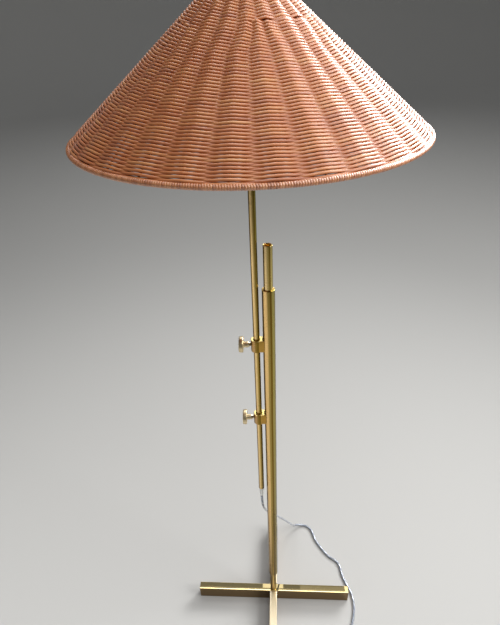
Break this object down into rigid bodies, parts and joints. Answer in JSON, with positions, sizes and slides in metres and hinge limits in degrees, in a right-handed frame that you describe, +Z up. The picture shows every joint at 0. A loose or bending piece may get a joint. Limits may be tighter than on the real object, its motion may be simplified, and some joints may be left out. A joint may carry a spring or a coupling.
{
  "type": "floor lamp",
  "caption": "Floor lamp with a brass cross base and post, a stem that slides and turns in two thumbscrew clamps, a woven rattan cone shade, and a free cord with its plug.",
  "frame": {"origin": "centre of the cross base on the floor, under the post's axis", "axes": "+Z up along the post; +X along the long bar, away from the sliding stem, which stands on the -X side of the post with the thumbscrews pointing to -X; -Y towards the viewer"},
  "size_m": [0.4838, 0.4838, 1.3373],
  "materials": {
    "brass": "satin brass, lightly lacquered",
    "brass_pale": "pale polished brass",
    "steel": "plain steel",
    "rattan": "split rattan, woven, clear-coated",
    "cane": "peeled cane strip, glossy side out",
    "clear_lead": "clear plastic over silver-coloured cores",
    "white_plastic": "moulded white",
    "black_plastic": "moulded black",
    "fibre": "insulating card",
    "bulb_glass": "opal, frosted"
  },
  "bodies": {
    "base": {"base_bar_long": "brass", "base_bar_cross": "brass", "base_stud": "steel", "spine_tube": "brass", "spine_foot_plug": "brass", "sleeve_tube": "brass", "sleeve_spacer_lower": "brass", "sleeve_spacer_upper": "brass", "upper_clamp": "brass", "lower_clamp": "brass", "cord_run": "clear_lead", "cord_coil": "clear_lead", "cord_tail": "clear_lead", "cord_tie": "black_plastic", "plug_body": "clear_lead", "plug_blade_left": "brass_pale", "plug_blade_right": "brass_pale"},
    "upper_shoe": {"upper_clamp_shoe": "brass_pale"},
    "upper_screw": {"upper_thumbscrew": "brass_pale"},
    "lower_shoe": {"lower_clamp_shoe": "brass_pale"},
    "lower_screw": {"lower_thumbscrew": "brass_pale"},
    "grip": {"cord_grip": "white_plastic", "cord_drop": "clear_lead"},
    "stem": {"stem_tube": "brass", "stem_nipple": "brass", "stem_lead": "clear_lead", "holder_cap": "brass", "holder_shell": "brass", "holder_liner": "fibre", "holder_core": "black_plastic", "holder_thread_contact": "brass_pale", "holder_centre_contact": "brass_pale", "shade_carrier": "brass", "shade_ring_nut": "brass", "bulb_cap": "steel", "bulb_glass": "bulb_glass", "bulb_led_column": "white_plastic", "shade_weave": "rattan", "rim_hoop": "steel", "rim_wrapping": "cane", "top_wrapping": "cane"},
    "switch": {"switch_shaft": "brass_pale", "switch_knob": "brass_pale"}
  },
  "joints": [
    {"name": "stem_height", "type": "slide", "parent": "base", "child": "grip", "axis": [0, 0, 1], "range_m": [-0.16, 0.17]},
    {"name": "stem_swivel", "type": "hinge", "parent": "grip", "child": "stem", "pos_m": [-0.022, 0, 0.428], "axis": [0, 0, 1], "range_deg": [-180, 180]},
    {"name": "upper_shoe_travel", "type": "slide", "parent": "base", "child": "upper_shoe", "axis": [-1, 0, 0], "range_m": [0, 0.00161]},
    {"name": "upper_screw_turn", "type": "hinge", "parent": "upper_shoe", "child": "upper_screw", "pos_m": [-0.05, 0, 0.8082], "axis": [-1, 0, 0], "range_deg": [0, 720]},
    {"name": "lower_shoe_travel", "type": "slide", "parent": "base", "child": "lower_shoe", "axis": [-1, 0, 0], "range_m": [0, 0.00161]},
    {"name": "lower_screw_turn", "type": "hinge", "parent": "lower_shoe", "child": "lower_screw", "pos_m": [-0.05, 0, 0.6352], "axis": [-1, 0, 0], "range_deg": [0, 720]},
    {"name": "switch_turn", "type": "hinge", "parent": "stem", "child": "switch", "pos_m": [-0.022, 0, 1.21465], "axis": [1, 0, 0], "continuous": true}
  ],
  "couplings": [
    {"joint": "upper_shoe_travel", "follows": "upper_screw_turn", "m_per_rad": 0.00012732},
    {"joint": "lower_shoe_travel", "follows": "lower_screw_turn", "m_per_rad": 0.00012732}
  ]
}
